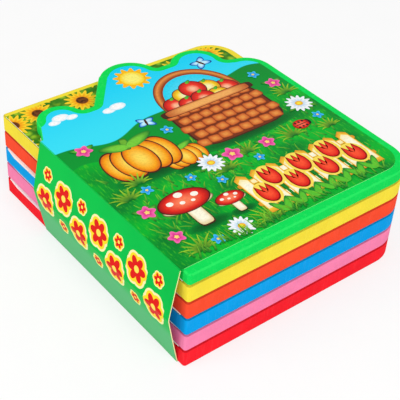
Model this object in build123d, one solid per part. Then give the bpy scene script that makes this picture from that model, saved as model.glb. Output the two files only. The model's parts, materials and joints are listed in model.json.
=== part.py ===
from build123d import *
import os

# A children's book made of thick foam boards. Five square-cut foam leaves and a thinner
# die-cut front cover are hinged along the spine by folded card sheets. Each leaf is a foam
# frame round a jigsaw of loose foam pieces, which lie on the card glued under the frame.
# One printed card wraps the book: front panel, creased spine panel and back panel.
# The book lies closed on its back. X runs from the spine to the fore edge, Y from the tail
# to the head, and the origin is the middle of the underside. Lengths are in millimetres.

# Foam leaves
page_width = 150.0
page_length = 166.5
foam_thickness = 10.0
spine_corner_radius = 3.5
fore_corner_radius = 18.0
leaf_colours = ("red", "pink", "blue", "orange", "yellow")

# Card sheets glued to the foam
sheet_thickness = 0.3
rim_width = 5.0
head_rim_width = 4.0
fold_reach = 1.0

# Front cover
cover_foam_thickness = 6.3
cover_edge_bevel = 0.8
cover_corner_radius = 18.0
cover_rim_width = 5.0
cover_softening = 3.0
shoulder_from_head = 42.5
shoulder_rise = 15.5
shoulder_run = 7.5

# Die-cut lobes of the cover's head edge: centre from the spine or from the fore edge,
# centre from the head edge, and radius
first_lobe = (19.0, 31.0, 13.5)
second_lobe = (73.0, 18.2, 18.2)
third_lobe = (35.5, 26.0, 16.3)
fourth_lobe = (16.0, 48.5, 16.0)
first_shelf_from_head = 29.2
second_shelf_from_head = 16.2
third_shelf_from_head = 31.5
flank_foot = (32.0, 28.2)
flank_top = (14.0, 5.8)

# Spine panel of the wrap-round card
card_thickness = 0.5
card_from_tail = 5.0
card_length = 119.0
crease_reach = 5.9
crease_height_share = 0.52
panel_bow = 0.3

# Jigsaw in each leaf
puzzle_columns = 2
puzzle_rows = 2
window_side_margin = 16.0
window_end_margin = 22.0
window_corner_radius = 4.0
piece_gap = 0.25
knob_radius = 6.5
knob_neck_width = 8.5
knob_reach = 12.5
knob_shift = 5.0

# Heights worked out from the sizes above
leaf_pitch = foam_thickness + 2 * sheet_thickness
block_height = leaf_pitch * len(leaf_colours)
cover_height = cover_foam_thickness + 2 * sheet_thickness
spine_x = -page_width / 2
fore_x = page_width / 2
tail_y = -page_length / 2
head_y = page_length / 2
fold_x = spine_x - fold_reach
foot_x = spine_x - card_thickness


def box_between(low_x, low_y, high_x, high_y):
    """A rectangle given by its two corners."""
    middle = Pos((low_x + high_x) / 2, (low_y + high_y) / 2)
    return middle * Rectangle(high_x - low_x, high_y - low_y)


def plate(outline, bottom, thickness):
    """A flat solid of the given outline, standing on the height called bottom."""
    return extrude(Pos(0, 0, bottom) * outline, thickness)


def round_inner_corners(outline, radius):
    """Fills the outline's inner corners to the given radius and leaves its outer ones."""
    return offset(offset(outline, radius, kind=Kind.ARC), -radius, kind=Kind.ARC)


def round_outer_corners(outline, radius):
    """Rounds the outline's outer corners and leaves its inner ones."""
    return offset(offset(outline, -radius, kind=Kind.ARC), radius, kind=Kind.ARC)


def leaf_outline():
    board = box_between(spine_x, tail_y, fore_x, head_y)
    board = fillet(board.vertices().sort_by(Axis.X)[-2:], fore_corner_radius)
    return fillet(board.vertices().sort_by(Axis.X)[:2], spine_corner_radius)


def sheet_outline():
    """Card glued to a leaf: bare foam shows round it, and it reaches out to the spine fold."""
    inner_radius = fore_corner_radius - rim_width
    card = box_between(fold_x, tail_y + rim_width, fore_x - rim_width, head_y - head_rim_width)
    return fillet(card.vertices().sort_by(Axis.X)[-2:], inner_radius)


def window_outline():
    opening = box_between(
        spine_x + window_side_margin,
        tail_y + window_end_margin,
        fore_x - window_side_margin,
        head_y - window_end_margin,
    )
    return fillet(opening.vertices(), window_corner_radius)


def lobe(place, side):
    """One round lobe, placed from the spine (side 1) or from the fore edge (side -1)."""
    across, from_head, radius = place
    edge = spine_x if side > 0 else fore_x
    return Pos(edge + side * across, head_y - from_head) * Circle(radius)


def cover_outline(spine_edge):
    """The lobed cover, with its spine side at the given X."""
    shoulder_y = head_y - shoulder_from_head
    first_x = spine_x + first_lobe[0]
    second_x = spine_x + second_lobe[0]
    third_x = fore_x - third_lobe[0]
    fourth_x = fore_x - fourth_lobe[0]
    fourth_y = head_y - fourth_lobe[1]
    second_y = head_y - second_lobe[1]
    body = box_between(spine_edge, tail_y, fore_x, fourth_y)
    body = fillet(body.vertices().group_by(Axis.Y)[0].sort_by(Axis.X)[-1:], cover_corner_radius)
    upper = box_between(spine_edge, tail_y + cover_corner_radius, fourth_x, shoulder_y)
    shoulder = make_face(Polyline(
        (spine_edge, fourth_y),
        (spine_edge, shoulder_y),
        (spine_edge + shoulder_run, shoulder_y + shoulder_rise),
        (first_x, shoulder_y + shoulder_rise),
        (first_x, fourth_y),
        close=True,
    ))
    first_shelf = box_between(first_x, fourth_y, second_x, head_y - first_shelf_from_head)
    second_shelf = box_between(second_x, fourth_y, third_x, head_y - second_shelf_from_head)
    third_shelf = box_between(third_x, fourth_y, fourth_x, head_y - third_shelf_from_head)
    flank = make_face(Polyline(
        (second_x - flank_foot[0], head_y - flank_foot[1]),
        (second_x - flank_top[0], head_y - flank_top[1]),
        (second_x, second_y),
        (second_x, head_y - flank_foot[1]),
        close=True,
    ))
    outline = body + upper + shoulder + first_shelf + second_shelf + third_shelf + flank
    outline += lobe(first_lobe, 1) + lobe(second_lobe, 1)
    outline += lobe(third_lobe, -1) + lobe(fourth_lobe, -1)
    outline = round_inner_corners(outline, cover_softening)
    return round_outer_corners(outline, cover_softening)


def cover_board(outline, bottom):
    """The cover's foam, with its upper edge eased all round."""
    board = plate(outline, bottom, cover_foam_thickness)
    return chamfer(board.edges().group_by(Axis.Z)[-1], cover_edge_bevel)


def knob_outline():
    """One jigsaw knob, standing on the X axis and pointing along +Y."""
    head_centre = knob_reach - knob_radius
    neck = box_between(-knob_neck_width / 2, -knob_radius, knob_neck_width / 2, head_centre)
    return neck + Pos(0, head_centre) * Circle(knob_radius)


def knob_places(leaf):
    """Where the knobs of a leaf's jigsaw sit: the two cells, the middle and the direction."""
    cell_width = (page_width - 2 * window_side_margin) / puzzle_columns
    cell_length = (page_length - 2 * window_end_margin) / puzzle_rows
    low_x = spine_x + window_side_margin
    low_y = tail_y + window_end_margin
    places = []
    for column in range(puzzle_columns):
        for row in range(puzzle_rows):
            across = 1 if (row + leaf) % 2 else -1
            along = -1 if (column + leaf) % 2 else 1
            if column + 1 < puzzle_columns:
                x = low_x + (column + 1) * cell_width
                y = low_y + (row + 0.5) * cell_length + knob_shift * across
                places.append(((column, row), (column + 1, row), x, y, 180 + 90 * across))
            if row + 1 < puzzle_rows:
                x = low_x + (column + 0.5) * cell_width + knob_shift * along
                y = low_y + (row + 1) * cell_length
                places.append(((column, row), (column, row + 1), x, y, 90 - 90 * along))
    return places


def puzzle_outlines(leaf):
    """The outlines of a leaf's jigsaw pieces, each a little smaller than its place."""
    cell_width = (page_width - 2 * window_side_margin) / puzzle_columns
    cell_length = (page_length - 2 * window_end_margin) / puzzle_rows
    low_x = spine_x + window_side_margin
    low_y = tail_y + window_end_margin
    window = offset(window_outline(), -piece_gap, kind=Kind.ARC)
    outlines = []
    for row in range(puzzle_rows):
        for column in range(puzzle_columns):
            cell = box_between(
                low_x + column * cell_width + piece_gap / 2,
                low_y + row * cell_length + piece_gap / 2,
                low_x + (column + 1) * cell_width - piece_gap / 2,
                low_y + (row + 1) * cell_length - piece_gap / 2,
            )
            for first, second, x, y, turn in knob_places(leaf):
                owner, other = (first, second) if turn in (0, 270) else (second, first)
                here = Pos(x, y) * Rot(0, 0, turn)
                if (column, row) == owner:
                    cell += here * knob_outline()
                if (column, row) == other:
                    cell -= here * offset(knob_outline(), piece_gap, kind=Kind.ARC)
            outlines.append(cell & window)
    return outlines


def bowed_line(start, end):
    """A line of the spine panel's section, bowed a little away from the leaves."""
    middle_x = (start[0] + end[0]) / 2 - panel_bow
    return ThreePointArc(start, (middle_x, 0, (start[2] + end[2]) / 2), end)


def spine_card():
    """The wrap's spine panel: two nearly flat halves that meet in a crease off the leaves.

    The upper half hangs from the front panel's fold, and the lower one stands against the
    foot of the last leaf."""
    low = sheet_thickness
    high = block_height + cover_height - sheet_thickness
    crease_z = low + (high - low) * crease_height_share
    profile = []
    for depth in (0.0, card_thickness):
        top = (fold_x - card_thickness + depth, 0, high)
        crease = (fold_x - crease_reach + depth, 0, crease_z)
        foot = (foot_x + depth, 0, low)
        profile += [bowed_line(top, crease), bowed_line(crease, foot)]
    profile.append(Line((fold_x - card_thickness, 0, high), (fold_x, 0, high)))
    profile.append(Line((foot_x, 0, low), (foot_x + card_thickness, 0, low)))
    panel = extrude(make_face(profile), card_length, dir=(0, 1, 0))
    return Pos(0, tail_y + card_from_tail, 0) * panel


def front_sheet():
    """The wrap's front panel, which folds over onto the spine panel."""
    rim_cut = offset(cover_outline(spine_x - cover_rim_width), -cover_rim_width, kind=Kind.ARC)
    overhang = box_between(
        fold_x - card_thickness,
        tail_y + card_from_tail,
        spine_x + cover_rim_width,
        tail_y + card_from_tail + card_length,
    )
    return rim_cut + overhang


def back_sheet():
    """The wrap's back panel, under the last leaf. It passes the foam only at the spine panel."""
    glued = sheet_outline() & box_between(spine_x, tail_y, fore_x, head_y)
    overhang = box_between(
        foot_x,
        tail_y + card_from_tail,
        spine_x + rim_width,
        tail_y + card_from_tail + card_length,
    )
    return glued + overhang


def build_leaf(index, colour):
    """All the pieces of one leaf, by name."""
    bottom = index * leaf_pitch
    window = window_outline()
    foam_bottom = bottom + sheet_thickness
    face_bottom = foam_bottom + foam_thickness
    under_sheet = back_sheet() if index == 0 else sheet_outline()
    under_name = "back_cover_sheet" if index == 0 else colour + "_under_sheet"
    pieces = {
        colour + "_foam_frame": plate(leaf_outline() - window, foam_bottom, foam_thickness),
        colour + "_face_sheet": plate(sheet_outline() - window, face_bottom, sheet_thickness),
        under_name: plate(under_sheet, bottom, sheet_thickness),
    }
    for number, outline in enumerate(puzzle_outlines(index), start=1):
        piece = plate(outline, foam_bottom, foam_thickness + sheet_thickness)
        pieces[colour + "_puzzle_piece_" + str(number)] = piece
    return pieces


def build_cover():
    """The front cover's pieces, by name."""
    foam_bottom = block_height + sheet_thickness
    foam_top = foam_bottom + cover_foam_thickness
    lining = offset(cover_outline(fold_x - cover_rim_width), -cover_rim_width, kind=Kind.ARC)
    return {
        "front_cover_foam": cover_board(cover_outline(spine_x), foam_bottom),
        "front_cover_lining": plate(lining, block_height, sheet_thickness),
        "front_cover_sheet": plate(front_sheet(), foam_top, sheet_thickness),
    }


pieces = {"spine_card": spine_card()}
for index, colour in enumerate(leaf_colours):
    pieces.update(build_leaf(index, colour))
pieces.update(build_cover())

os.makedirs("parts", exist_ok=True)
for name, piece in pieces.items():
    export_step(piece, "parts/" + name + ".step")
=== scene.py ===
import json
import math
import random

import bmesh
import bpy
import numpy as np
from mathutils import Matrix, Vector

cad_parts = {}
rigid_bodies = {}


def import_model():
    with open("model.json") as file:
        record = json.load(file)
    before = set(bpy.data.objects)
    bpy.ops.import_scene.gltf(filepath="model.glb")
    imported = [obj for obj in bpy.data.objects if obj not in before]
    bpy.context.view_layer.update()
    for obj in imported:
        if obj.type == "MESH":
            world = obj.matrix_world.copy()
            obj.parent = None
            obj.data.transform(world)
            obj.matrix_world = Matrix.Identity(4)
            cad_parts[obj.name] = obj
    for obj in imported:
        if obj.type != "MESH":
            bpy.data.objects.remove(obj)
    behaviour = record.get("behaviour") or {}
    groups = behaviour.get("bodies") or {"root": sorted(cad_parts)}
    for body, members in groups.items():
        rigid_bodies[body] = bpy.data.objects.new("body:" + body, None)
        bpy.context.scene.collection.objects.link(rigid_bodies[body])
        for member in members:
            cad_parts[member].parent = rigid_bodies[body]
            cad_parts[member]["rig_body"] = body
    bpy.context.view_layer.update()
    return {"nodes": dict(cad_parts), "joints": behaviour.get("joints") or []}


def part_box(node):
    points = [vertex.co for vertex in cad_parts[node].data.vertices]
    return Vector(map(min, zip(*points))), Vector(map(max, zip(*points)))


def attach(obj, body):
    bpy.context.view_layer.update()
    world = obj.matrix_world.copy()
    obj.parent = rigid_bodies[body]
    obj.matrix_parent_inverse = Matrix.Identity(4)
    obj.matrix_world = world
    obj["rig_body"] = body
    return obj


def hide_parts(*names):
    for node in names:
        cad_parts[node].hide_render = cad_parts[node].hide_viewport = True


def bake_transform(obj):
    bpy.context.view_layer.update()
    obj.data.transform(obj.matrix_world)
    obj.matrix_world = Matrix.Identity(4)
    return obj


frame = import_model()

# The dressed foam book. Lengths in this script are in metres, as the frame's are, except in the
# print: there a place is given in page millimetres, from the corner of the spine and the tail.
MM = 0.001
LEAVES = ("red", "pink", "blue", "orange", "yellow")
BODIES = ("back_cover", "pink_leaf", "blue_leaf", "orange_leaf", "yellow_leaf", "front_cover")

# Sizes read from the frame
leaf_low, leaf_high = (Vector(corner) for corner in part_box("yellow_foam_frame"))
card_low, card_high = (Vector(corner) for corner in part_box("spine_card"))
sheet_low, sheet_high = (Vector(corner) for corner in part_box("front_cover_sheet"))
hinge_x = frame["joints"][0]["pos_m"][0]
hinge_heights = [joint["pos_m"][2] for joint in frame["joints"]]
page_corner = Vector((leaf_low.x, leaf_low.y, 0.0))

# The spine panel: its card, its crease's height as a share, its halves' bow, the top strip's
# room under the open front panel, and how far from their hinge the other strips bend
card_thickness = 0.5 * MM
crease_share = 0.52
panel_bow = 0.6 * MM
top_strip_clearance = 0.6 * MM
strip_bend = 3.4 * MM

# The white folds at the spine, from the lowest hinge up, in millimetres: how far the sheets'
# edge lies in from the leaves' edge, how far the fold stands out of it at its tail end and at
# its head end, and half its height there
FOLDS = ((0.0, 0.6, 1.4, 0.32), (0.6, 0.95, 0.5, 0.22), (0.0, 0.5, 2.1, 0.5),
         (0.8, 1.4, 0.4, 0.25), (0.0, 0.35, 0.4, 0.22))

# How round the foam's edges are: of the leaves, of their upper rim, of the puzzle pieces and of
# the cover; and how far in from the leaf's sides, and from its fore edge, that rim can lie
LEAF_EDGE, RIM_EDGE, PIECE_EDGE, COVER_EDGE = 0.4 * MM, 1.3 * MM, 0.3 * MM, 0.35 * MM
RIM_REACH, FORE_RIM_REACH = 6 * MM, 14 * MM

# The foam corners at the spine that are drawn in: Y, the side where the foam lies, the solid's
# radius, the radius here, and how far a chamfered top lies in
LEAF_CORNERS = ((leaf_low.y, 1, 3.5 * MM, 1.6 * MM, 0.0),
                (leaf_high.y, -1, 3.5 * MM, 1.6 * MM, 0.0))
COVER_CORNERS = ((leaf_low.y, 1, 3.0 * MM, 2.0 * MM, 0.8 * MM),)

# How far the back panel lies in from the spine, and the lower sheets above the page below them
BACK_INSET = 0.8 * MM
SHEET_GAP = 0.01 * MM

# Points this close are one, and what differs less than this in height is at one height; edges
# over these angles are rounded, or kept sharp in the shading
WELD = 0.002 * MM
SAME_HEIGHT = 0.05 * MM
ROUNDED_ANGLE = math.radians(35)
CREASE_ANGLE = math.radians(30)

# The printed picture: the step between two of its shapes, and the seed of its grass
PRINT_STEP = 0.0012 * MM
PRINT_SEED = 7

# Camera, fitted to the photograph's straight edges; places are from the near bottom corner
camera_place = Vector((-0.21327, -0.25383, 0.36693))
camera_turn = math.radians(49.55)
camera_drop = math.radians(38.53)
camera_roll = math.radians(3.8)
focal_pixels = 1019.7
photo_pixels = 400
sensor_width = 36.0

# Light: strength of the pale surround, how much of its own white the floor shows, the floor's
# half size, and the lamps' name, place, size and power
SURROUND = 0.6
FLOOR_GLOW = 0.72
FLOOR_HALF = 3.0
LAMPS = (("key", (-0.2, -0.9, 1.0), 0.6, 6.6), ("fill", (-0.95, 0.2, 0.8), 0.6, 3.7))


def srgb(red, green, blue):
    """A colour as the photograph shows it, 0 to 255, made linear."""
    parts = []
    for part in (red / 255, green / 255, blue / 255):
        parts.append(part / 12.92 if part <= 0.04045 else ((part + 0.055) / 1.055) ** 2.4)
    return (*parts, 1.0)


def shade(ink, factor, lift=0.0):
    """A darker or lighter colour."""
    return tuple(min(1.0, part * factor + lift) for part in ink[:3]) + (1.0,)


FOAM = {
    "red": srgb(252, 32, 46),
    "pink": srgb(253, 136, 180),
    "blue": srgb(0, 162, 236),
    "orange": srgb(252, 78, 46),
    "yellow": srgb(248, 226, 62),
    "green": srgb(12, 220, 88),
}
WHITE = srgb(250, 250, 246)
CREAM = srgb(255, 240, 176)
MINT = srgb(176, 244, 176)
WRAP_GREEN = srgb(0, 195, 75)
# Painted reflection of the white floor, on the spine panel below its crease
PAINTED_SHEEN_GREEN = srgb(84, 190, 120)
DARK_LINE = srgb(70, 34, 22)
FLOWER_SHADOW = shade(srgb(40, 120, 30), 0.35)


class Nodes:
    """The shader nodes of a material or a world, built up from sockets."""

    def __init__(self, owner):
        owner.use_nodes = True
        self.tree = owner.node_tree

    def node(self, kind, **settings):
        node = self.tree.nodes.new("ShaderNode" + kind)
        for key, value in settings.items():
            setattr(node, key, value)
        return node

    def put(self, socket, value):
        if isinstance(value, bpy.types.NodeSocket):
            self.tree.links.new(value, socket)
        else:
            socket.default_value = value

    def filled(self, node, *values):
        """A node's first output, with its inputs set in their order."""
        for socket, value in zip(node.inputs, values):
            self.put(socket, value)
        return node.outputs[0]

    def math(self, operation, *values):
        return self.filled(self.node("Math", operation=operation), *values)

    def seen(self):
        """1 where a thing is seen by the camera, in a reflection or through something clear."""
        ray = self.node("LightPath").outputs
        seen = self.math("MAXIMUM", ray["Is Camera Ray"], ray["Is Glossy Ray"])
        return self.math("MAXIMUM", seen, ray["Is Transmission Ray"])


class Paint(Nodes):
    """A procedural material."""

    def __init__(self, name, roughness, specular=0.05):
        self.material = bpy.data.materials.new(name)
        super().__init__(self.material)
        self.shader = self.tree.nodes["Principled BSDF"]
        self.shader.inputs["Roughness"].default_value = roughness
        self.shader.inputs["Specular IOR Level"].default_value = specular

    def times(self, first, second):
        return self.math("MULTIPLY", first, second)

    def inverse(self, value):
        return self.math("SUBTRACT", 1.0, value)

    def mix(self, factor, first, second, blend="MIX"):
        node = self.node("Mix", data_type="RGBA", blend_type=blend)
        self.put(node.inputs[0], factor)
        self.put(node.inputs[6], first)
        self.put(node.inputs[7], second)
        return node.outputs[2]

    def step(self, low, high, value):
        """0 below low, 1 above high, smooth between."""
        node = self.node("MapRange", interpolation_type="SMOOTHSTEP")
        return self.filled(node, value, low, high, 0.0, 1.0)

    def noise(self, vector, scale, detail=2.0, roughness=0.5):
        node = self.node("TexNoise")
        self.put(node.inputs["Vector"], vector)
        node.inputs["Scale"].default_value = scale
        node.inputs["Detail"].default_value = detail
        node.inputs["Roughness"].default_value = roughness
        return node.outputs[0]

    def minus(self, first, second):
        """One vector less another."""
        return self.filled(self.node("VectorMath", operation="SUBTRACT"), first, second)

    def apart(self, vector):
        """A vector's three parts."""
        node = self.node("SeparateXYZ")
        self.put(node.inputs[0], vector)
        return node.outputs

    def vector(self, x, y, z=0.0):
        return self.filled(self.node("CombineXYZ"), x, y, z)

    def page(self, stored=False):
        """Page coordinates in millimetres, as one vector and as its three parts."""
        if stored:
            source = self.node("Attribute", attribute_name="rest").outputs["Vector"]
        else:
            source = self.node("TexCoord").outputs["Object"]
        scale = self.node("VectorMath", operation="SCALE")
        self.put(scale.inputs[0], self.minus(source, page_corner))
        scale.inputs["Scale"].default_value = 1 / MM
        return (scale.outputs[0], *self.apart(scale.outputs[0]))

    def facing(self, sign=0):
        """How much the surface faces up (1), down (-1) or either way (0) in its own space."""
        up = self.apart(self.node("TexCoord").outputs["Normal"])[2]
        return self.times(up, float(sign)) if sign else self.math("ABSOLUTE", up)

    def bump(self, height, strength, distance):
        node = self.node("Bump")
        node.inputs["Strength"].default_value = strength
        node.inputs["Distance"].default_value = distance
        self.put(node.inputs["Height"], height)
        self.put(self.shader.inputs["Normal"], node.outputs[0])

    def colour(self, value):
        self.put(self.shader.inputs["Base Color"], value)
        return self.material


def foam_paint(name, colour, edge, flecks):
    """Closed-cell foam: fine cells, faint clouding, knife streaks and pale flecks, with painted
    shade (edge below 1) or a painted highlight (edge above 1) on the rounded edges."""
    paint = Paint(name, roughness=0.7, specular=0.02)
    place, x, y, z = paint.page()
    cells = paint.noise(place, 2.6, 3.0, 0.6)
    clouds = paint.noise(place, 0.09)
    streaks = paint.noise(paint.vector(x, y, paint.times(z, 0.08)), 1.1)
    upright = paint.facing()
    wall = paint.inverse(upright)
    light = shade(colour, 1.06, 0.04)
    tone = paint.mix(paint.step(0.3, 0.7, clouds), shade(colour, 0.93), colour)
    tone = paint.mix(paint.times(paint.step(0.45, 0.75, cells), 0.4), tone, light)
    streak = paint.times(paint.step(0.5, 0.8, streaks), wall)
    tone = paint.mix(paint.times(streak, 0.4), tone, light)
    rounding = paint.times(paint.step(0.2, 0.45, upright),
                           paint.inverse(paint.step(0.8, 0.97, upright)))
    # Painted light on the rounded edges: painted shade where edge is below 1, a painted highlight
    # where it is above 1
    painted_edge_tone = shade(colour, edge, 0.02 if edge > 1 else 0.0)
    tone = paint.mix(paint.times(rounding, 0.8), tone, painted_edge_tone)
    fleck = paint.step(0.52, 0.7, paint.noise(place, 0.55, 2.0, 0.7))
    tone = paint.mix(paint.times(fleck, flecks), tone, light)
    height = paint.math("ADD", cells, paint.times(streaks, 0.5))
    paint.bump(height, 0.3, 0.08 * MM)
    return paint.colour(tone)


def flower_field(paint, x, y, ground, theme):
    """Scatters a theme's printed flowers over a ground colour."""
    pitch, reach, seed = theme["pitch"], theme["reach"], theme["seed"]
    start_y = seed * 0.37 + theme.get("lift", 0.0)
    place = paint.vector(paint.math("ADD", paint.math("DIVIDE", x, pitch), seed),
                         paint.math("ADD", paint.math("DIVIDE", y, pitch), start_y))
    cells = paint.node("TexVoronoi", voronoi_dimensions="2D")
    cells.inputs["Scale"].default_value = 1.0
    cells.inputs["Randomness"].default_value = 0.55
    paint.put(cells.inputs["Vector"], place)
    offset = paint.apart(paint.minus(place, cells.outputs["Position"]))
    angle = paint.math("ARCTAN2", offset[1], offset[0])
    wave = paint.math("COSINE", paint.math("MULTIPLY_ADD", angle, float(theme["petals"]), seed))
    edge = paint.math("MULTIPLY_ADD", wave, reach * 0.17, reach * 0.83)
    distance = cells.outputs["Distance"]
    share = paint.math("DIVIDE", distance, edge)
    inside = paint.inverse(paint.step(0.94, 1.0, share))
    shadow = paint.inverse(paint.step(0.9, 1.12, share))
    tone = paint.mix(paint.times(shadow, 0.6), ground, FLOWER_SHADOW)
    bloom = paint.mix(paint.step(0.3, 0.95, share), theme["petal"], theme["tip"])
    tone = paint.mix(inside, tone, bloom)
    middle = paint.inverse(paint.step(reach * 0.3, reach * 0.36, distance))
    seeds = paint.noise(place, 14.0)
    core = paint.mix(paint.step(0.4, 0.6, seeds), shade(theme["heart"], 0.35), theme["heart"])
    return paint.mix(middle, tone, core)


def leafy_ground(paint, place, dark, light, scale):
    """Overlapping printed leaves in two greens."""
    cells = paint.node("TexVoronoi", voronoi_dimensions="3D")
    cells.inputs["Scale"].default_value = scale
    paint.put(cells.inputs["Vector"], place)
    tone = paint.mix(paint.step(0.1, 0.75, cells.outputs["Distance"]), light, dark)
    return paint.mix(paint.step(0.35, 0.7, paint.noise(place, scale * 0.7)), tone, dark)


# The print of each leaf's pages: the ground's two tones, and the flowers' distance, petals,
# reach, colours and offset
PAGES = {
    "yellow": dict(dark=srgb(50, 120, 20), light=srgb(170, 206, 40), pitch=23.0, petals=15,
                   reach=0.46, petal=srgb(246, 150, 10), tip=srgb(255, 216, 40),
                   heart=srgb(120, 62, 20), seed=0.37, lift=0.55),
    "orange": dict(dark=srgb(196, 220, 120), light=srgb(240, 244, 190), pitch=24.0, petals=5,
                   reach=0.42, petal=srgb(214, 20, 16), tip=srgb(255, 74, 40),
                   heart=srgb(60, 40, 50), seed=1.9),
    "blue": dict(dark=srgb(60, 180, 240), light=srgb(170, 226, 250), pitch=20.0, petals=12,
                 reach=0.44, petal=srgb(255, 255, 250), tip=srgb(244, 248, 255),
                 heart=srgb(250, 190, 20), seed=3.3),
    "pink": dict(dark=srgb(250, 170, 200), light=srgb(255, 220, 230), pitch=22.0, petals=6,
                 reach=0.43, petal=srgb(190, 40, 140), tip=srgb(240, 90, 180),
                 heart=srgb(255, 220, 60), seed=5.1),
    "red": dict(dark=srgb(30, 140, 50), light=srgb(130, 210, 70), pitch=19.0, petals=8,
                reach=0.4, petal=srgb(255, 240, 180), tip=srgb(255, 206, 60),
                heart=srgb(220, 60, 30), seed=7.7),
}


def page_paint(name, theme, side):
    """Printed card: a field of flowers on its upper (1) or lower (-1) face, white elsewhere."""
    paint = Paint(name, roughness=0.4)
    place, x, y, _ = paint.page()
    ground = leafy_ground(paint, place, theme["dark"], theme["light"], 0.22)
    tone = flower_field(paint, x, y, ground, theme)
    face = paint.step(0.4, 0.6, paint.facing(side))
    paint.bump(paint.noise(place, 0.05, 1.0), 0.2, 0.3 * MM)
    return paint.colour(paint.mix(face, WHITE, tone))


def card_paint(name):
    """Plain white folded card."""
    paint = Paint(name, roughness=0.55)
    fibres = paint.noise(paint.page(stored=True)[0], 1.8, 3.0)
    paint.bump(fibres, 0.2, 0.05 * MM)
    return paint.colour(paint.mix(paint.step(0.3, 0.7, fibres), srgb(236, 236, 232), WHITE))


def wave_line(paint, x, level, waves):
    """A height that rolls along x: the level plus a few sines (height, length, phase)."""
    total = level
    for height, length, phase in waves:
        angle = paint.math("MULTIPLY_ADD", x, 2 * math.pi / length, phase)
        total = paint.math("MULTIPLY_ADD", paint.math("SINE", angle), height, total)
    return total


def front_ground_paint():
    """The front panel's ground: sky, a dark hill and a meadow in soft bands of grass."""
    paint = Paint("front_print_ground", roughness=0.35)
    place, x, y, _ = paint.page()
    sky_tone = paint.mix(paint.step(105.0, 165.0, y), srgb(56, 222, 244), srgb(0, 206, 246))
    hill_line = wave_line(paint, x, 112.0, ((7.0, 150.0, 3.6), (2.0, 44.0, 0.4)))
    rise = paint.times(paint.step(92.0, 140.0, x), 9.0)
    hill_line = paint.math("ADD", hill_line, rise)
    hill_tone = paint.mix(paint.step(80.0, 150.0, y), srgb(0, 150, 48), srgb(0, 128, 44))
    tone = paint.mix(paint.step(-0.4, 0.4, paint.math("SUBTRACT", y, hill_line)),
                     hill_tone, sky_tone)
    field_line = wave_line(paint, x, 88.0, ((5.0, 120.0, 0.8), (2.2, 38.0, 1.0)))
    fine = paint.noise(paint.vector(x, paint.times(y, 0.22)), 0.9, 3.0, 0.6)
    broad = paint.noise(place, 0.045)
    grass = paint.mix(paint.step(0.32, 0.68, broad), srgb(0, 124, 40), srgb(0, 178, 46))
    grass = paint.mix(paint.step(0.5, 0.8, fine), grass, srgb(76, 200, 36))
    tone = paint.mix(paint.step(-0.5, 0.5, paint.math("SUBTRACT", y, field_line)), grass, tone)
    face = paint.step(0.4, 0.6, paint.facing(1))
    edge = paint.mix(paint.step(0.5, 1.5, x), WRAP_GREEN, MINT)
    return paint.colour(paint.mix(face, edge, tone))


def ink_paint():
    """Printed shapes take their colour from the mesh, with a little unevenness of the ink."""
    paint = Paint("front_print_ink", roughness=0.35)
    ink = paint.node("Attribute", attribute_name="ink").outputs["Color"]
    uneven = paint.noise(paint.page()[0], 0.7, 3.0, 0.6)
    dark = paint.mix(0.14, ink, srgb(60, 30, 20), "MULTIPLY")
    return paint.colour(paint.mix(paint.step(0.3, 0.62, uneven), dark, ink))


# The garland on the spine panel, large and small flowers, in page millimetres: first and last
# flower, distance, middle height, rise from one flower to the next, size and number of petals
SPINE_GARLAND = ((17.0, 113.0, 16.0, 36.0, 11.0, 7.2, 6), (17.0, 113.0, 16.0, 35.0, -23.0, 3.4, 6))


def garland(paint, y, z, tone, first, last, pitch, height, sway, size, petals):
    """A row of red flowers on yellow and cream patches, which rises and falls along the panel."""
    along = paint.math("DIVIDE", paint.math("SUBTRACT", y, first - pitch / 2), pitch)
    local = paint.times(paint.math("SUBTRACT", paint.math("FRACT", along), 0.5), pitch)
    odd = paint.math("MODULO", paint.math("FLOOR", along), 2.0)
    middle = paint.math("MULTIPLY_ADD", odd, sway, height - sway / 2)
    up = paint.math("SUBTRACT", z, middle)
    distance = paint.math(
        "SQRT", paint.math("MULTIPLY_ADD", local, local, paint.times(up, up)))
    angle = paint.math("ARCTAN2", up, local)
    within = paint.times(paint.math("GREATER_THAN", y, first - pitch / 2),
                         paint.math("LESS_THAN", y, last + pitch / 2))
    wave = paint.math("COSINE", paint.math("MULTIPLY_ADD", angle, petals / 2, 0.3))
    wave = paint.math("ABSOLUTE", wave)
    for reach, swell, colour in ((1.3, 0.16, CREAM), (1.14, 0.2, srgb(255, 222, 40)),
                                 (0.96, 0.42, srgb(226, 26, 22)), (0.26, 0.0, srgb(255, 230, 90))):
        edge = paint.math("MULTIPLY_ADD", wave, size * swell, size * (reach - swell))
        inside = paint.math("LESS_THAN", distance, edge)
        tone = paint.mix(paint.times(inside, within), tone, colour)
    return tone


def spine_print_paint():
    """Laminated green card with a garland of red flowers; below its crease a painted reflection of
    the floor makes it paler.
    """
    paint = Paint("spine_panel_print", roughness=0.35, specular=0.03)
    place, _, y, z = paint.page(stored=True)
    broad = paint.noise(place, 0.03)
    tone = paint.mix(paint.step(0.3, 0.7, broad), srgb(0, 188, 73), WRAP_GREEN)
    # Painted reflection: below the crease the card is painted paler, as the floor's reflection
    tone = paint.mix(paint.inverse(paint.step(17.0, 27.0, z)), tone, PAINTED_SHEEN_GREEN)
    for row in SPINE_GARLAND:
        tone = garland(paint, y, z, tone, *row)
    paint.bump(broad, 0.3, 0.6 * MM)
    return paint.colour(tone)


def plain_card_paint(name, colour):
    """Card of one colour, faintly clouded."""
    paint = Paint(name, roughness=0.5)
    broad = paint.noise(paint.page()[0], 0.05)
    return paint.colour(paint.mix(paint.step(0.3, 0.7, broad), colour, shade(colour, 1.08)))


def add_object(name, data):
    """A new object in the scene."""
    thing = bpy.data.objects.new(name, data)
    bpy.context.scene.collection.objects.link(thing)
    return thing


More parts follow.
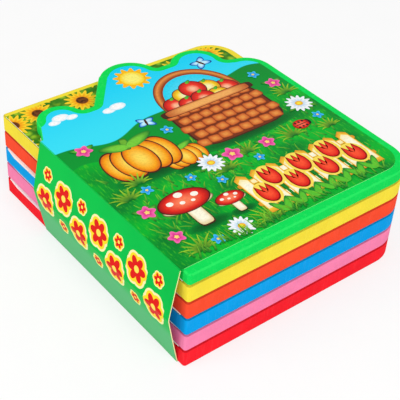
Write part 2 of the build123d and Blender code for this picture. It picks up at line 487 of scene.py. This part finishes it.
def add_mesh(name, mesh, materials):
    """A new object of a mesh. It keeps each point's rest place, so that a print doesn't swim as
    the piece bends."""
    for material in materials:
        mesh.materials.append(material)
    places = np.empty(len(mesh.vertices) * 3, np.float32)
    mesh.vertices.foreach_get("co", places)
    mesh.attributes.new("rest", "FLOAT_VECTOR", "POINT").data.foreach_set("vector", places)
    return add_object(name, mesh)


def mesh_object(name, points, faces, materials):
    """A new object from plain points and faces."""
    mesh = bpy.data.meshes.new(name)
    mesh.from_pydata(points, [], faces)
    mesh.update()
    for polygon in mesh.polygons:
        polygon.use_smooth = True
    return add_mesh(name, mesh, materials)


def welded_copy(node):
    """A CAD node's mesh to edit, with the points that share a place made one."""
    copy = bmesh.new()
    copy.from_mesh(frame["nodes"][node].data)
    bmesh.ops.remove_doubles(copy, verts=copy.verts, dist=WELD)
    return copy


def round_edges(mesh, edges, radius, segments):
    bmesh.ops.bevel(mesh, geom=edges, offset=radius, segments=segments, profile=0.5,
                    affect="EDGES", clamp_overlap=True)


def softened_copy(node, name, radius, materials, top_radius=0.0, top_print=False, corners=()):
    """A copy of a CAD node's mesh with its sharp edges rounded, in its place. Its outer rim can
    have a larger radius, its top the second material, and its corners at the spine less."""
    copy = welded_copy(node)
    bmesh.ops.dissolve_limit(
        copy, angle_limit=math.radians(0.5), verts=copy.verts, edges=copy.edges)
    top = max(vert.co.z for vert in copy.verts)
    for corner in corners:
        tighten_corner(copy, top, *corner)
    if top_radius:
        rim = [edge for edge in sharp_edges(copy)
               if edge_middle(edge).z > top - SAME_HEIGHT and is_outside(edge_middle(edge))]
        round_edges(copy, rim, top_radius, 4)
    round_edges(copy, sharp_edges(copy), radius, 2)
    for face in copy.faces:
        face.smooth = True
        if top_print and face.normal.z > 0.9 and face.calc_center_median().z > top - SAME_HEIGHT:
            face.material_index = 1
    return dressed(copy, name, node, materials)


def tighten_corner(mesh, top, y, side, radius, new_radius, top_inset):
    """Draws a rounded corner at the spine in to a smaller radius, under a chamfered top too."""
    reach = radius + 0.01 * MM
    for vert in mesh.verts:
        if vert.co.x - leaf_low.x > reach or (vert.co.y - y) * side > reach:
            continue
        inset = top_inset if vert.co.z > top - SAME_HEIGHT else 0.0
        corner_x, corner_y = leaf_low.x + inset, y + side * inset
        share = (new_radius - inset) / (radius - inset)
        vert.co.x = corner_x + (vert.co.x - corner_x) * share
        vert.co.y = corner_y + (vert.co.y - corner_y) * share


def sharp_edges(mesh, angle=ROUNDED_ANGLE):
    """The edges between two faces that meet at more than an angle."""
    return [edge for edge in mesh.edges
            if len(edge.link_faces) == 2 and edge.calc_face_angle() > angle]


def edge_middle(edge):
    """The point half way along an edge."""
    return (edge.verts[0].co + edge.verts[1].co) / 2


def is_outside(place):
    """Whether a place on a leaf is on its outer rim, and not at its window."""
    return (place.x < leaf_low.x + RIM_REACH or place.x > leaf_high.x - FORE_RIM_REACH
            or place.y < leaf_low.y + RIM_REACH or place.y > leaf_high.y - RIM_REACH)


def dressed(copy, name, node, materials):
    """Makes an object of an edited copy, which takes its CAD node's place and rides with it."""
    mesh = bpy.data.meshes.new(name)
    copy.to_mesh(mesh)
    copy.free()
    thing = add_mesh(name, mesh, materials)
    thing.modifiers.new("even_shading", "WEIGHTED_NORMAL").keep_sharp = True
    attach(thing, frame["nodes"][node]["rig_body"])
    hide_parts(node)
    return thing


def trimmed_sheet(node, name, material, end_x, from_y=-1.0, gap=0.0):
    """A copy of a card sheet whose spine edge, from a place on, is drawn in to another X. Its
    lower face is lifted by the gap, so that it doesn't share a plane with the page below."""
    copy = welded_copy(node)
    bottom = min(vert.co.z for vert in copy.verts)
    for vert in copy.verts:
        if vert.co.z < bottom + SAME_HEIGHT:
            vert.co.z += gap
        if vert.co.x < max(end_x, leaf_low.x) + 0.1 * MM and vert.co.y > from_y:
            vert.co.x = end_x
    return dressed(copy, name, node, [material])


def repaint(node, material):
    """Gives a CAD node another material in its own slots."""
    thing = frame["nodes"][node]
    if not thing.material_slots:
        thing.data.materials.append(material)
    for material_slot in thing.material_slots:
        material_slot.material = material


def tube_faces(ring, along):
    """The two ends and then the walls of a closed ring of points that runs along Y."""
    faces = [tuple(range(ring - 1, -1, -1)), tuple(along * ring + step for step in range(ring))]
    for step in range(along):
        start, above = step * ring, (step + 1) * ring
        for corner in range(ring):
            after = (corner + 1) % ring
            faces.append((start + corner, start + after, above + after, above + corner))
    return faces


def fold_strips(material):
    """The white folds of the card sheets, between the leaves at the spine. Each narrows towards
    its ends, waves a little, and is thinner at the tail."""
    along, around = 48, 10
    end_share, end_loss = 0.12, 0.75
    wave, thinnest = 0.05 * MM, 0.2 * MM
    low_y, high_y = (corner[1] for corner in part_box("pink_face_sheet"))
    for index, sizes in enumerate(FOLDS):
        inset, tail_reach, head_reach, half_height = (size * MM for size in sizes)
        end_y = card_high.y if index == len(FOLDS) - 1 else high_y
        points = []
        for step_y in range(along + 1):
            share = step_y / along
            swell = 1 - max(0.0, abs(2 * share - 1) - 1 + end_share) / end_share * end_loss
            reach = (tail_reach + (head_reach - tail_reach) * share) * swell
            reach += wave * math.sin(9 * share + index)
            half = max(thinnest, half_height * swell * (0.4 + 0.6 * share))
            for step in range(around + 1):
                angle = math.pi * (0.5 + step / around)
                points.append((leaf_low.x + inset + math.cos(angle) * reach,
                               low_y + (end_y - low_y) * share,
                               hinge_heights[index] + math.sin(angle) * half))
        fold = mesh_object(BODIES[index + 1] + "_fold", points, tube_faces(around + 1, along),
                           [material])
        mark_creases(fold)
        bend(fold, index, hinge_heights[index] - half_height, hinge_heights[index] + half_height)


def bend(thing, index, low, high):
    """Bakes a piece's place into its mesh; the hinge and the two heights it is given are not used.
    """
    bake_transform(thing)


def card_profile(height):
    """The spine panel's outer face at a height: two flat halves that meet in the crease."""
    crease = card_low.z + (card_high.z - card_low.z) * crease_share
    if height > crease:
        end_x, share = hinge_x - card_thickness, (height - crease) / (card_high.z - crease)
    else:
        end_x, share = leaf_low.x - card_thickness, (crease - height) / (crease - card_low.z)
    bow = panel_bow * share * (1 - share)
    return card_low.x + (end_x - card_low.x) * share - bow


def spine_strips(materials):
    """The wrap's spine panel, in five strips, one for each hinge. The top strip starts below the
    place of the open front panel."""
    middles = [(lower + upper) / 2 for lower, upper in zip(hinge_heights, hinge_heights[1:-1])]
    top_start = 2 * hinge_heights[-1] - card_high.z - top_strip_clearance
    bounds = [card_low.z, *middles, top_start, card_high.z]
    along, rows = 40, 20
    for index, hinge_height in enumerate(hinge_heights):
        low, high = bounds[index], bounds[index + 1]
        heights = [low + (high - low) * step / rows for step in range(rows + 1)]
        outer = [(card_profile(z), z) for z in heights]
        inner = [(x + card_thickness, z) for x, z in outer]
        bend_low, bend_high = hinge_height - strip_bend, hinge_height + strip_bend
        if index == len(hinge_heights) - 1:
            outer, inner = top_fold(outer, inner)
            bend_low, bend_high = low, high - 2 * MM
        loop = outer + inner[::-1]
        points = []
        for step in range(along + 1):
            y = card_low.y + (card_high.y - card_low.y) * step / along
            points += [(x, y, z) for x, z in loop]
        strip = mesh_object("spine_card_strip_%d" % (index + 1), points,
                            tube_faces(len(loop), along), materials)
        kinds = [0 if corner < len(outer) - 1 else 1 for corner in range(len(loop))]
        strip.data.polygons.foreach_set("material_index", [2, 2] + kinds * along)
        mark_creases(strip)
        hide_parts("spine_card")
        bend(strip, index, bend_low, bend_high)


def top_fold(outer, inner):
    """Rounds the panel's top over onto the front panel."""
    def place(x, z):
        return sheet_low.x + x * MM, sheet_high.z + z * MM
    turn = [place(-0.01, -0.15), place(0.05, -0.03), place(0.2, 0.012), place(0.5, 0.012)]
    return outer + turn, inner + [place(0.5, -0.3)]


def mark_creases(thing):
    """Keeps the creases sharp in the shading."""
    copy = bmesh.new()
    copy.from_mesh(thing.data)
    for edge in sharp_edges(copy, CREASE_ANGLE):
        edge.smooth = False
    copy.to_mesh(thing.data)
    copy.free()


# Outlines: each takes a share of the way round and gives a place, within 1 of the middle
def circle(share):
    angle = 2 * math.pi * share
    return math.cos(angle), math.sin(angle)


def flower(petals, depth, phase=0.0):
    """A round outline that swells into petals."""
    def outline(share):
        x, y = circle(share)
        reach = 1 - depth * (0.5 - 0.5 * math.cos(2 * math.pi * petals * share + phase))
        return reach * x, reach * y
    return outline


def rounded_box(share):
    x, y = circle(share)
    fit = (abs(x) ** 5 + abs(y) ** 5) ** 0.2
    return x / fit, y / fit


def tulip(share):
    """A cup of three pointed petals."""
    if share < 0.5:
        angle = math.pi * (1 + 2 * share)
        return 0.9 * math.cos(angle), math.sin(angle)
    along = 2 * share - 1
    ripple = abs((along * 3) % 1 - 0.5) * 2
    return 0.9 * (1 - 2 * along), 1 - 0.75 * ripple ** 1.3


def picket(share):
    """A fence board with a pointed top."""
    return ((-1, -1), (1, -1), (1, 0.82), (0, 1), (-1, 0.82))[round(share * 5) % 5]


def leaf_shape(share):
    """A pointed leaf, from its foot at the origin out along +X."""
    x, y = circle(share)
    return 0.5 - 0.5 * x, 0.5 * y * (0.8 + 0.2 * x)


def inked(rings, line=DARK_LINE):
    """Rings with a hard outline from the last one outward."""
    return rings + [(rings[-1][0], line), (1.0, line)]


class Picture:
    """Flat printed shapes, each laid a hair above the last, on the front panel."""

    def __init__(self, base_height, hair):
        self.points = []
        self.faces = []
        self.inks = []
        self.base = base_height
        self.hair = hair
        self.level = 1

    def point(self, x, y):
        """Adds a point at a place in page millimetres, on the present level."""
        self.points.append((page_corner.x + x * MM, page_corner.y + y * MM,
                            self.base + self.level * self.hair))

    def at(self, middle_x, middle_y, size):
        """A way to lay a motif's shapes, from its middle and in its own size."""
        def lay(x, y, width, height, outline, rings, turn=0.0, steps=36):
            self.shape(middle_x + x * size, middle_y + y * size, width * size, height * size,
                       outline, rings, turn, steps)
        return lay

    def shape(self, x, y, width, height, outline, rings, turn=0.0, steps=36):
        """rings are (reach, ink) from the middle outward; the same reach twice is a hard step."""
        cos, sin = math.cos(math.radians(turn)), math.sin(math.radians(turn))
        first = len(self.points)
        self.point(x, y)
        for reach, ink in rings:
            for step in range(steps):
                u, v = outline(step / steps)
                u, v = u * reach * width, v * reach * height
                self.point(x + u * cos - v * sin, y + u * sin + v * cos)
        for step in range(steps):
            after = (step + 1) % steps
            self.faces.append((first, first + 1 + step, first + 1 + after))
            self.inks += [rings[0][1]] * 3
        for ring in range(len(rings) - 1):
            if rings[ring][0] == rings[ring + 1][0]:
                continue
            inner = first + 1 + ring * steps
            outer = inner + steps
            for step in range(steps):
                after = (step + 1) % steps
                self.faces.append((inner + step, outer + step, outer + after, inner + after))
                near, far = rings[ring][1], rings[ring + 1][1]
                self.inks += [near, far, far, near]
        self.level += 1

    def blade(self, x, y, length, turn, width, foot, tip, bend):
        """A curved blade of grass, from its foot's colour to its tip's."""
        steps = 6
        first = len(self.points)
        inks = []
        for step in range(steps + 1):
            share = step / steps
            angle = math.radians(turn) + bend * share
            cx = x + math.cos(angle) * length * share
            cy = y + math.sin(angle) * length * share
            half = width / 2 * (1 - share) ** 0.7
            side_x, side_y = -math.sin(angle) * half, math.cos(angle) * half
            self.point(cx + side_x, cy + side_y)
            self.point(cx - side_x, cy - side_y)
            inks.append(tuple(f + (t - f) * share for f, t in zip(foot, tip)))
        for step in range(steps):
            start = first + 2 * step
            self.faces.append((start, start + 1, start + 3, start + 2))
            self.inks += [inks[step], inks[step], inks[step + 1], inks[step + 1]]

    def finish(self, name, material, body):
        mesh = bpy.data.meshes.new(name)
        mesh.from_pydata(self.points, [], self.faces)
        colours = mesh.color_attributes.new("ink", "FLOAT_COLOR", "CORNER")
        colours.data.foreach_set("color", np.array(self.inks, np.float32).ravel())
        mesh.materials.append(material)
        thing = add_object(name, mesh)
        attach(thing, body)


def build_front_picture():
    """A garden picture for the front panel: basket, pumpkins, toadstools, and red tulips along
    a cream fence."""
    picture = Picture(sheet_high.z, PRINT_STEP)
    dice = random.Random(PRINT_SEED)
    draw_sky(picture)
    draw_grass(picture, dice, 320, (8, 82), (6, 140))
    draw_shadows(picture)
    draw_basket(picture, 95, 90, 0.98)
    draw_pumpkin(picture, 53, 72, 10)
    draw_pumpkin(picture, 33, 83, 17)
    draw_toadstool(picture, 50, 31, 8.5)
    draw_toadstool(picture, 30, 40, 15)
    draw_tufts(picture, dice)
    draw_flowers(picture)
    draw_fence(picture)
    draw_grass(picture, dice, 90, (5.6, 9), (8, 132))
    draw_ladybird(picture, 122, 60, 5)
    picture.finish("front_cover_picture", ink_paint(), "front_cover")


def draw_sky(picture):
    """Small clouds, a sun with rays and two butterflies."""
    cloud = [(0.6, srgb(255, 255, 255)), (1.0, srgb(214, 242, 252))]
    for x, y, size in ((13.5, 134, 3.6), (18.5, 136.5, 5), (24, 134, 3.6), (44, 128, 4),
                       (50, 129, 5)):
        picture.shape(x, y, size, size * 0.62, circle, cloud)
    sun = [(0.5, srgb(255, 244, 120)), (0.9, srgb(255, 214, 20)), (1.0, srgb(250, 160, 10))]
    picture.shape(73, 148, 11, 11, flower(12, 0.28), [(1.0, srgb(255, 190, 20))], steps=96)
    picture.shape(73, 148, 7.6, 7.6, circle, sun)
    draw_butterfly(picture, 116, 140, 7, 20)
    draw_butterfly(picture, 54, 108, 6, -15)


def draw_butterfly(picture, x, y, size, turn):
    """Four blue wings and a dark body."""
    wing = inked([(0.5, srgb(200, 244, 255)), (0.86, srgb(30, 150, 240))], srgb(10, 70, 150))
    lay = picture.at(x, y, size)
    for side in (35, -35, 145, 215):
        lay(0, 0, 1, 0.8, leaf_shape, wing, turn + side)
    lay(0, 0, 0.12, 0.5, circle, [(1.0, DARK_LINE)], turn)


def draw_grass(picture, dice, count, rows, columns):
    """Blades of grass over the meadow. Each takes the lowest level where no other is in its way,
    so that no two of them share a plane and a place."""
    base = picture.level
    levels = []
    for _ in range(count):
        x = dice.uniform(*columns)
        y = dice.uniform(*rows)
        length = dice.uniform(5, 10)
        turn = dice.uniform(55, 125)
        foot = shade(srgb(0, 120, 40), dice.uniform(0.8, 1.2))
        tip = shade(srgb(140, 214, 50), dice.uniform(0.8, 1.15))
        bend_angle = dice.uniform(-0.4, 0.4)
        room = blade_room(x, y, length, math.radians(turn) + bend_angle)
        number = 0
        while number < len(levels) and any(rooms_meet(room, other) for other in levels[number]):
            number += 1
        if number == len(levels):
            levels.append([])
        levels[number].append(room)
        picture.level = base + number
        picture.blade(x, y, length, turn, 1.1, foot, tip, bend_angle)
    picture.level = base + len(levels)


def blade_room(x, y, length, angle):
    """The box that a blade of grass takes up: low x, high x, low y and high y."""
    margin = 1.2
    low_x, high_x = sorted((x, x + math.cos(angle) * length))
    low_y, high_y = sorted((y, y + math.sin(angle) * length))
    return low_x - margin, high_x + margin, low_y - margin, high_y + margin


def rooms_meet(one, other):
    """Whether two boxes overlap."""
    return (one[0] < other[1] and other[0] < one[1]
            and one[2] < other[3] and other[2] < one[3])


def draw_shadows(picture):
    """Soft dark ground under the basket, the pumpkins and the toadstools."""
    ground = [(0.2, srgb(0, 84, 30)), (0.7, srgb(0, 108, 36)), (1.0, srgb(0, 140, 44))]
    for x, y, width, height in ((95, 71, 37, 6), (34, 70, 26, 6), (54, 63, 14, 4),
                                (30, 23, 13, 4), (50, 22, 8, 3)):
        picture.shape(x, y, width, height, circle, ground, steps=48)


# Places and lengths of the tufts of long grass
TUFTS = ((9, 58, 12), (16, 10, 13), (58, 8, 14), (64, 50, 13), (112, 54, 12), (135, 50, 9),
         (20, 66, 10), (82, 56, 11), (137, 88, 11))


def draw_tufts(picture, dice):
    """Fans of long grass, with the outer blades lower and bent outward."""
    for x, y, length in TUFTS:
        for number in range(9):
            share = number / 8
            turn = 150 - 120 * share + dice.uniform(-5, 5)
            reach = length * (0.65 + 0.35 * math.sin(math.pi * share)) * dice.uniform(0.85, 1.1)
            foot = shade(srgb(0, 110, 36), dice.uniform(0.8, 1.2))
            tip = shade(srgb(176, 226, 50), dice.uniform(0.8, 1.1))
            picture.blade(x + 3 * (share - 0.5), y, reach, turn, 1.9, foot, tip, 0.5 - share)
            picture.level += 1


def draw_basket(picture, x, y, size):
    """A wicker basket heaped with apples and pears, placed by the middle of its body."""
    brown, pale = srgb(150, 62, 22), srgb(236, 150, 70)
    handle = [(0.83, brown), (0.92, pale), (0.98, brown), (1.0, DARK_LINE)]
    gap = [(0.5, srgb(90, 224, 248)), (1.0, srgb(30, 214, 246))]
    apple = inked([(0.15, srgb(255, 190, 150)), (0.5, srgb(246, 60, 40)),
                   (0.93, srgb(190, 16, 20))])
    pear = inked([(0.15, srgb(255, 250, 190)), (0.6, srgb(252, 214, 40)),
                  (0.93, srgb(226, 150, 20))])
    leaf = [(0.6, srgb(90, 190, 50)), (1.0, srgb(10, 110, 40))]
    strand = [(0.2, pale), (0.8, srgb(206, 98, 40)), (1.0, srgb(110, 40, 16))]
    band = inked([(0.5, srgb(246, 176, 96)), (0.9, srgb(190, 88, 36))])
    body = inked([(0.96, srgb(120, 50, 20))])
    lay = picture.at(x, y, size)
    lay(0, 22, 27, 30, circle, handle, steps=64)
    lay(0, 22, 21.5, 24, circle, gap)
    for across, up, rings, reach in (
            (-18, 22, apple, 8.5), (18, 22, apple, 8.5), (-8, 28, pear, 8.0), (9, 28, pear, 8.0),
            (0, 31, apple, 9.0), (-10, 19, apple, 8.0), (10, 18, pear, 8.0),
            (0, 20, apple, 8.5)):
        lay(across, up, reach, reach * 0.94, flower(2, 0.07, math.pi), rings)
        lay(across, up + reach * 0.7, reach * 0.5, reach * 0.34, leaf_shape, leaf, 35)
    lay(0, 0, 30, 20, rounded_box, body, steps=64)
    for row in range(5):
        for column in range(8):
            side = 1 if row % 2 else -1
            lay((column - 3.5) * 7.2 + 1.8 * side, (row - 2) * 7.2, 3.9, 3.2, rounded_box,
                strand, 8 * side, steps=20)
    lay(0, 17, 32, 3.6, rounded_box, band, steps=64)


def draw_pumpkin(picture, x, y, size):
    """Five ribs, the middle one on top, a stalk and two leaves."""
    rib = inked([(0.2, srgb(255, 220, 90)), (0.7, srgb(252, 168, 24)),
                 (0.92, srgb(222, 104, 10))])
    stalk = [(0.7, srgb(110, 180, 50)), (1.0, srgb(30, 90, 30))]
    leaf = [(0.6, srgb(120, 206, 60)), (1.0, srgb(20, 124, 40))]
    lay = picture.at(x, y, size)
    for across in (-0.78, 0.78, -0.42, 0.42, 0.0):
        lay(across, 0, 0.5, 0.8, circle, rib)
    lay(0, 0.86, 0.13, 0.3, rounded_box, stalk, -14)
    for turn, reach in ((18, 1.1), (160, 0.9)):
        lay(0, 0.7, reach, 0.5, leaf_shape, leaf, turn)


def draw_toadstool(picture, x, y, size):
    """A cream stem, the cap's underside, and a red cap with white spots."""
    stem = inked([(0.5, srgb(255, 250, 224)), (0.9, srgb(230, 206, 150))])
    cap = inked([(0.2, srgb(255, 130, 90)), (0.7, srgb(232, 44, 30)), (0.94, srgb(160, 16, 20))])
    lay = picture.at(x, y, size)
    lay(0, -0.55, 0.3, 0.62, rounded_box, stem)
    lay(0, 0, 1, 0.3, circle, [(0.9, srgb(250, 230, 180)), (1.0, DARK_LINE)])
    lay(0, 0.22, 1, 0.56, circle, cap)
    for across, up, spot in ((-0.5, 0.32, 0.13), (0.0, 0.57, 0.16), (0.5, 0.34, 0.14),
                             (-0.1, 0.17, 0.1), (0.28, 0.1, 0.08)):
        lay(across, up, spot, spot * 0.8, circle, [(1.0, srgb(255, 250, 236))])


# Places and sizes of the loose flowers
PINK_FLOWERS = ((12, 104, 5.0), (74, 60, 5.8), (137, 100, 4.8), (96, 58, 4.8), (10, 46, 5.0),
                (11, 24, 4.6))
BLUE_FLOWERS = ((59, 96, 3.8), (20, 60, 3.6), (44, 56, 3.2), (133, 113, 3.8), (84, 50, 3.2),
                (56, 46, 3.2), (136, 62, 3.6), (26, 12, 3.6))
DAISIES = ((60, 60, 7.5), (135, 76, 8.0), (41, 13, 7.0))


def draw_flowers(picture):
    """Small pink and blue flowers and a few daisies, loose over the grass."""
    pink = [(0.3, srgb(255, 220, 120)), (0.3, srgb(214, 40, 130)), (1.0, srgb(255, 110, 184))]
    blue = [(0.26, srgb(255, 230, 80)), (0.26, srgb(20, 130, 220)), (1.0, srgb(70, 200, 250))]
    leaf = [(0.5, srgb(110, 200, 60)), (1.0, srgb(10, 120, 40))]
    for places, depth, leaf_turns, rings in (
            (PINK_FLOWERS, 0.34, (20, 150), pink), (BLUE_FLOWERS, 0.4, (), blue)):
        for x, y, size in places:
            for turn in leaf_turns:
                picture.shape(x, y, size * 1.5, size * 0.8, leaf_shape, leaf, turn)
            own_turn = (x * 37 + y * 53) % 72
            picture.shape(x, y, size, size, flower(5, depth), rings, own_turn, steps=60)
    for x, y, size in DAISIES:
        draw_daisy(picture, x, y, size)


def draw_daisy(picture, x, y, size):
    """White petals round a yellow middle, on three leaves."""
    leaf = [(0.5, srgb(140, 210, 60)), (1.0, srgb(20, 120, 40))]
    petals = [(0.35, srgb(190, 220, 240)), (0.8, srgb(255, 255, 255)), (1.0, srgb(232, 244, 255))]
    lay = picture.at(x, y, size)
    for turn in (200, 320, 80):
        lay(0, 0, 1.3, 0.5, leaf_shape, leaf, turn)
    lay(0, 0, 1, 1, flower(13, 0.3), petals, steps=130)
    lay(0, 0, 0.3, 0.26, circle, [(0.4, srgb(255, 230, 60)), (1.0, srgb(240, 150, 10))])


def draw_fence(picture):
    """Red tulips in front of a cream garden fence."""
    wood = [(0.5, srgb(255, 252, 224)), (0.8, CREAM), (0.8, srgb(252, 206, 60)),
            (1.0, srgb(226, 150, 40))]
    red = inked([(0.3, srgb(255, 84, 50)), (0.86, srgb(222, 22, 22))], srgb(140, 10, 14))
    leaf = [(0.7, srgb(90, 196, 50)), (1.0, srgb(8, 116, 40))]
    for y in (20, 36):
        picture.shape(98, y, 40, 2.2, rounded_box, wood, steps=64)
    for number in range(8):
        picture.shape(63 + 10 * number, 28, 3.6, 16, picket, wood, steps=5)
    for number in range(7):
        x = 68 + 10 * number
        y = 35 if number % 2 else 25
        picture.shape(x, (y + 10) / 2, 0.9, (y - 10) / 2, rounded_box,
                      [(1.0, srgb(20, 130, 40))], steps=20)
        for turn in (60, 120):
            picture.shape(x, 9, 11, 5, leaf_shape, leaf, turn)
        picture.shape(x, y, 6.9, 8.7, circle, [(1.0, srgb(255, 226, 90))], steps=60)
        picture.shape(x, y, 5.8, 7.4, tulip, red, steps=60)


def draw_ladybird(picture, x, y, size):
    """A ladybird, with a dark head and six dots."""
    black = [(1.0, srgb(26, 20, 24))]
    back = [(0.3, srgb(255, 110, 80)), (0.8, srgb(226, 30, 24)), (1.0, srgb(150, 10, 14))]
    lay = picture.at(x, y, size)
    lay(0.85, 0, 0.45, 0.5, circle, black)
    lay(0, 0, 1, 0.8, circle, back)
    lay(0, 0, 0.95, 0.06, circle, black)
    for across in (-0.5, 0.0, 0.5):
        for side in (-0.42, 0.42):
            lay(across, side, 0.15, 0.15, circle, black)


def build_camera():
    """The camera, where the photograph's perspective puts it."""
    forward = Vector((math.cos(camera_drop) * math.cos(camera_turn),
                      math.cos(camera_drop) * math.sin(camera_turn), -math.sin(camera_drop)))
    right = forward.cross(Vector((0, 0, 1))).normalized()
    up = right.cross(forward)
    cos, sin = math.cos(camera_roll), math.sin(camera_roll)
    rolled_right = right * cos + up * sin
    rolled_up = up * cos - right * sin
    data = bpy.data.cameras.new("camera")
    data.sensor_width = sensor_width
    data.lens = focal_pixels / photo_pixels * sensor_width
    data.clip_start = 0.01
    camera = add_object("camera", data)
    turn = Matrix((rolled_right, rolled_up, -forward)).transposed().to_4x4()
    camera.matrix_world = Matrix.Translation(page_corner + camera_place) @ turn
    bpy.context.scene.camera = camera


def build_floor():
    """A pale floor: seen directly it is mostly white, with a faint shadow of the book."""
    paint = Paint("floor_paper", roughness=0.9, specular=0.1)
    speckle = paint.noise(paint.node("TexCoord").outputs["Object"], 40.0)
    paint.colour(paint.mix(speckle, srgb(246, 246, 246), srgb(253, 253, 253)))
    glow = paint.node("Emission")
    glow.inputs["Strength"].default_value = 1.0
    both = paint.filled(paint.node("MixShader"), paint.times(paint.seen(), FLOOR_GLOW),
                        paint.shader.outputs[0], glow.outputs[0])
    paint.put(paint.tree.nodes["Material Output"].inputs["Surface"], both)
    corners = ((-1, -1), (1, -1), (1, 1), (-1, 1))
    floor = mesh_object("floor", [(x * FLOOR_HALF, y * FLOOR_HALF, 0) for x, y in corners],
                        [(0, 1, 2, 3)], [paint.material])


def build_light():
    """Even studio light: a pale surround and two broad lamps."""
    world = bpy.data.worlds.new("studio")
    bpy.context.scene.world = world
    nodes = Nodes(world)
    background = nodes.tree.nodes["Background"]
    background.inputs["Color"].default_value = (1, 1, 1, 1)
    level = nodes.node("Mix")
    nodes.put(level.inputs[0], nodes.seen())
    level.inputs[2].default_value = SURROUND
    level.inputs[3].default_value = 1.0
    nodes.put(background.inputs["Strength"], level.outputs[0])
    for name, place, size, power in LAMPS:
        data = bpy.data.lights.new(name, "AREA")
        data.shape = "DISK"
        data.size = size
        data.energy = power
        lamp = add_object(name, data)
        lamp.location = place
        lamp.rotation_euler = (-Vector(place)).to_track_quat("-Z", "Y").to_euler()


def build_leaf(index, colour):
    """A leaf: its foam frame, four puzzle pieces and the sheets on its upper and lower face."""
    # edge=0.5 gives painted shade on the leaves' rounded edges, in place of the shade under the
    # leaf above
    foam = foam_paint(colour + "_foam_cells", FOAM[colour], edge=0.5, flecks=0.12)
    upper_page = page_paint(colour + "_page_print", PAGES[colour], 1)
    leaf = softened_copy(colour + "_foam_frame", colour + "_frame_soft", LEAF_EDGE, [foam],
                         top_radius=RIM_EDGE, corners=LEAF_CORNERS)
    for number in range(1, 5):
        node = "%s_puzzle_piece_%d" % (colour, number)
        piece = softened_copy(node, node + "_soft", PIECE_EDGE, [foam, upper_page],
                              top_print=True)
    sheet = trimmed_sheet(colour + "_face_sheet", colour + "_face_card", upper_page,
                          leaf_low.x + FOLDS[index][0] * MM)
    if index > 0:
        lower_page = page_paint(colour + "_under_print", PAGES[colour], -1)
        sheet = trimmed_sheet(colour + "_under_sheet", colour + "_under_card", lower_page,
                              leaf_low.x + FOLDS[index - 1][0] * MM, gap=SHEET_GAP)


def build_covers():
    """The front cover's foam, lining and front panel, and the back panel."""
    # edge=1.05 gives a painted highlight on the cover's rounded edges
    foam = foam_paint("green_foam_cells", FOAM["green"], edge=1.05, flecks=0.4)
    cover = softened_copy("front_cover_foam", "front_cover_foam_soft", COVER_EDGE, [foam],
                          corners=COVER_CORNERS)
    lining = trimmed_sheet("front_cover_lining", "front_cover_lining_card",
                           page_paint("cover_lining_print", PAGES["yellow"], -1), leaf_low.x)
    repaint("front_cover_sheet", front_ground_paint())
    back_card = trimmed_sheet("back_cover_sheet", "back_cover_card",
                              plain_card_paint("back_panel_card", WRAP_GREEN),
                              leaf_low.x + BACK_INSET, card_high.y - 0.1 * MM)


bpy.context.scene.view_settings.view_transform = "Standard"
build_camera()
build_light()
build_floor()
for index, colour in enumerate(LEAVES):
    build_leaf(index, colour)
build_covers()
fold_strips(card_paint("fold_card"))
spine_strips([spine_print_paint(), card_paint("wrap_inner_card"),
              plain_card_paint("wrap_cut_edge", CREAM)])
build_front_picture()
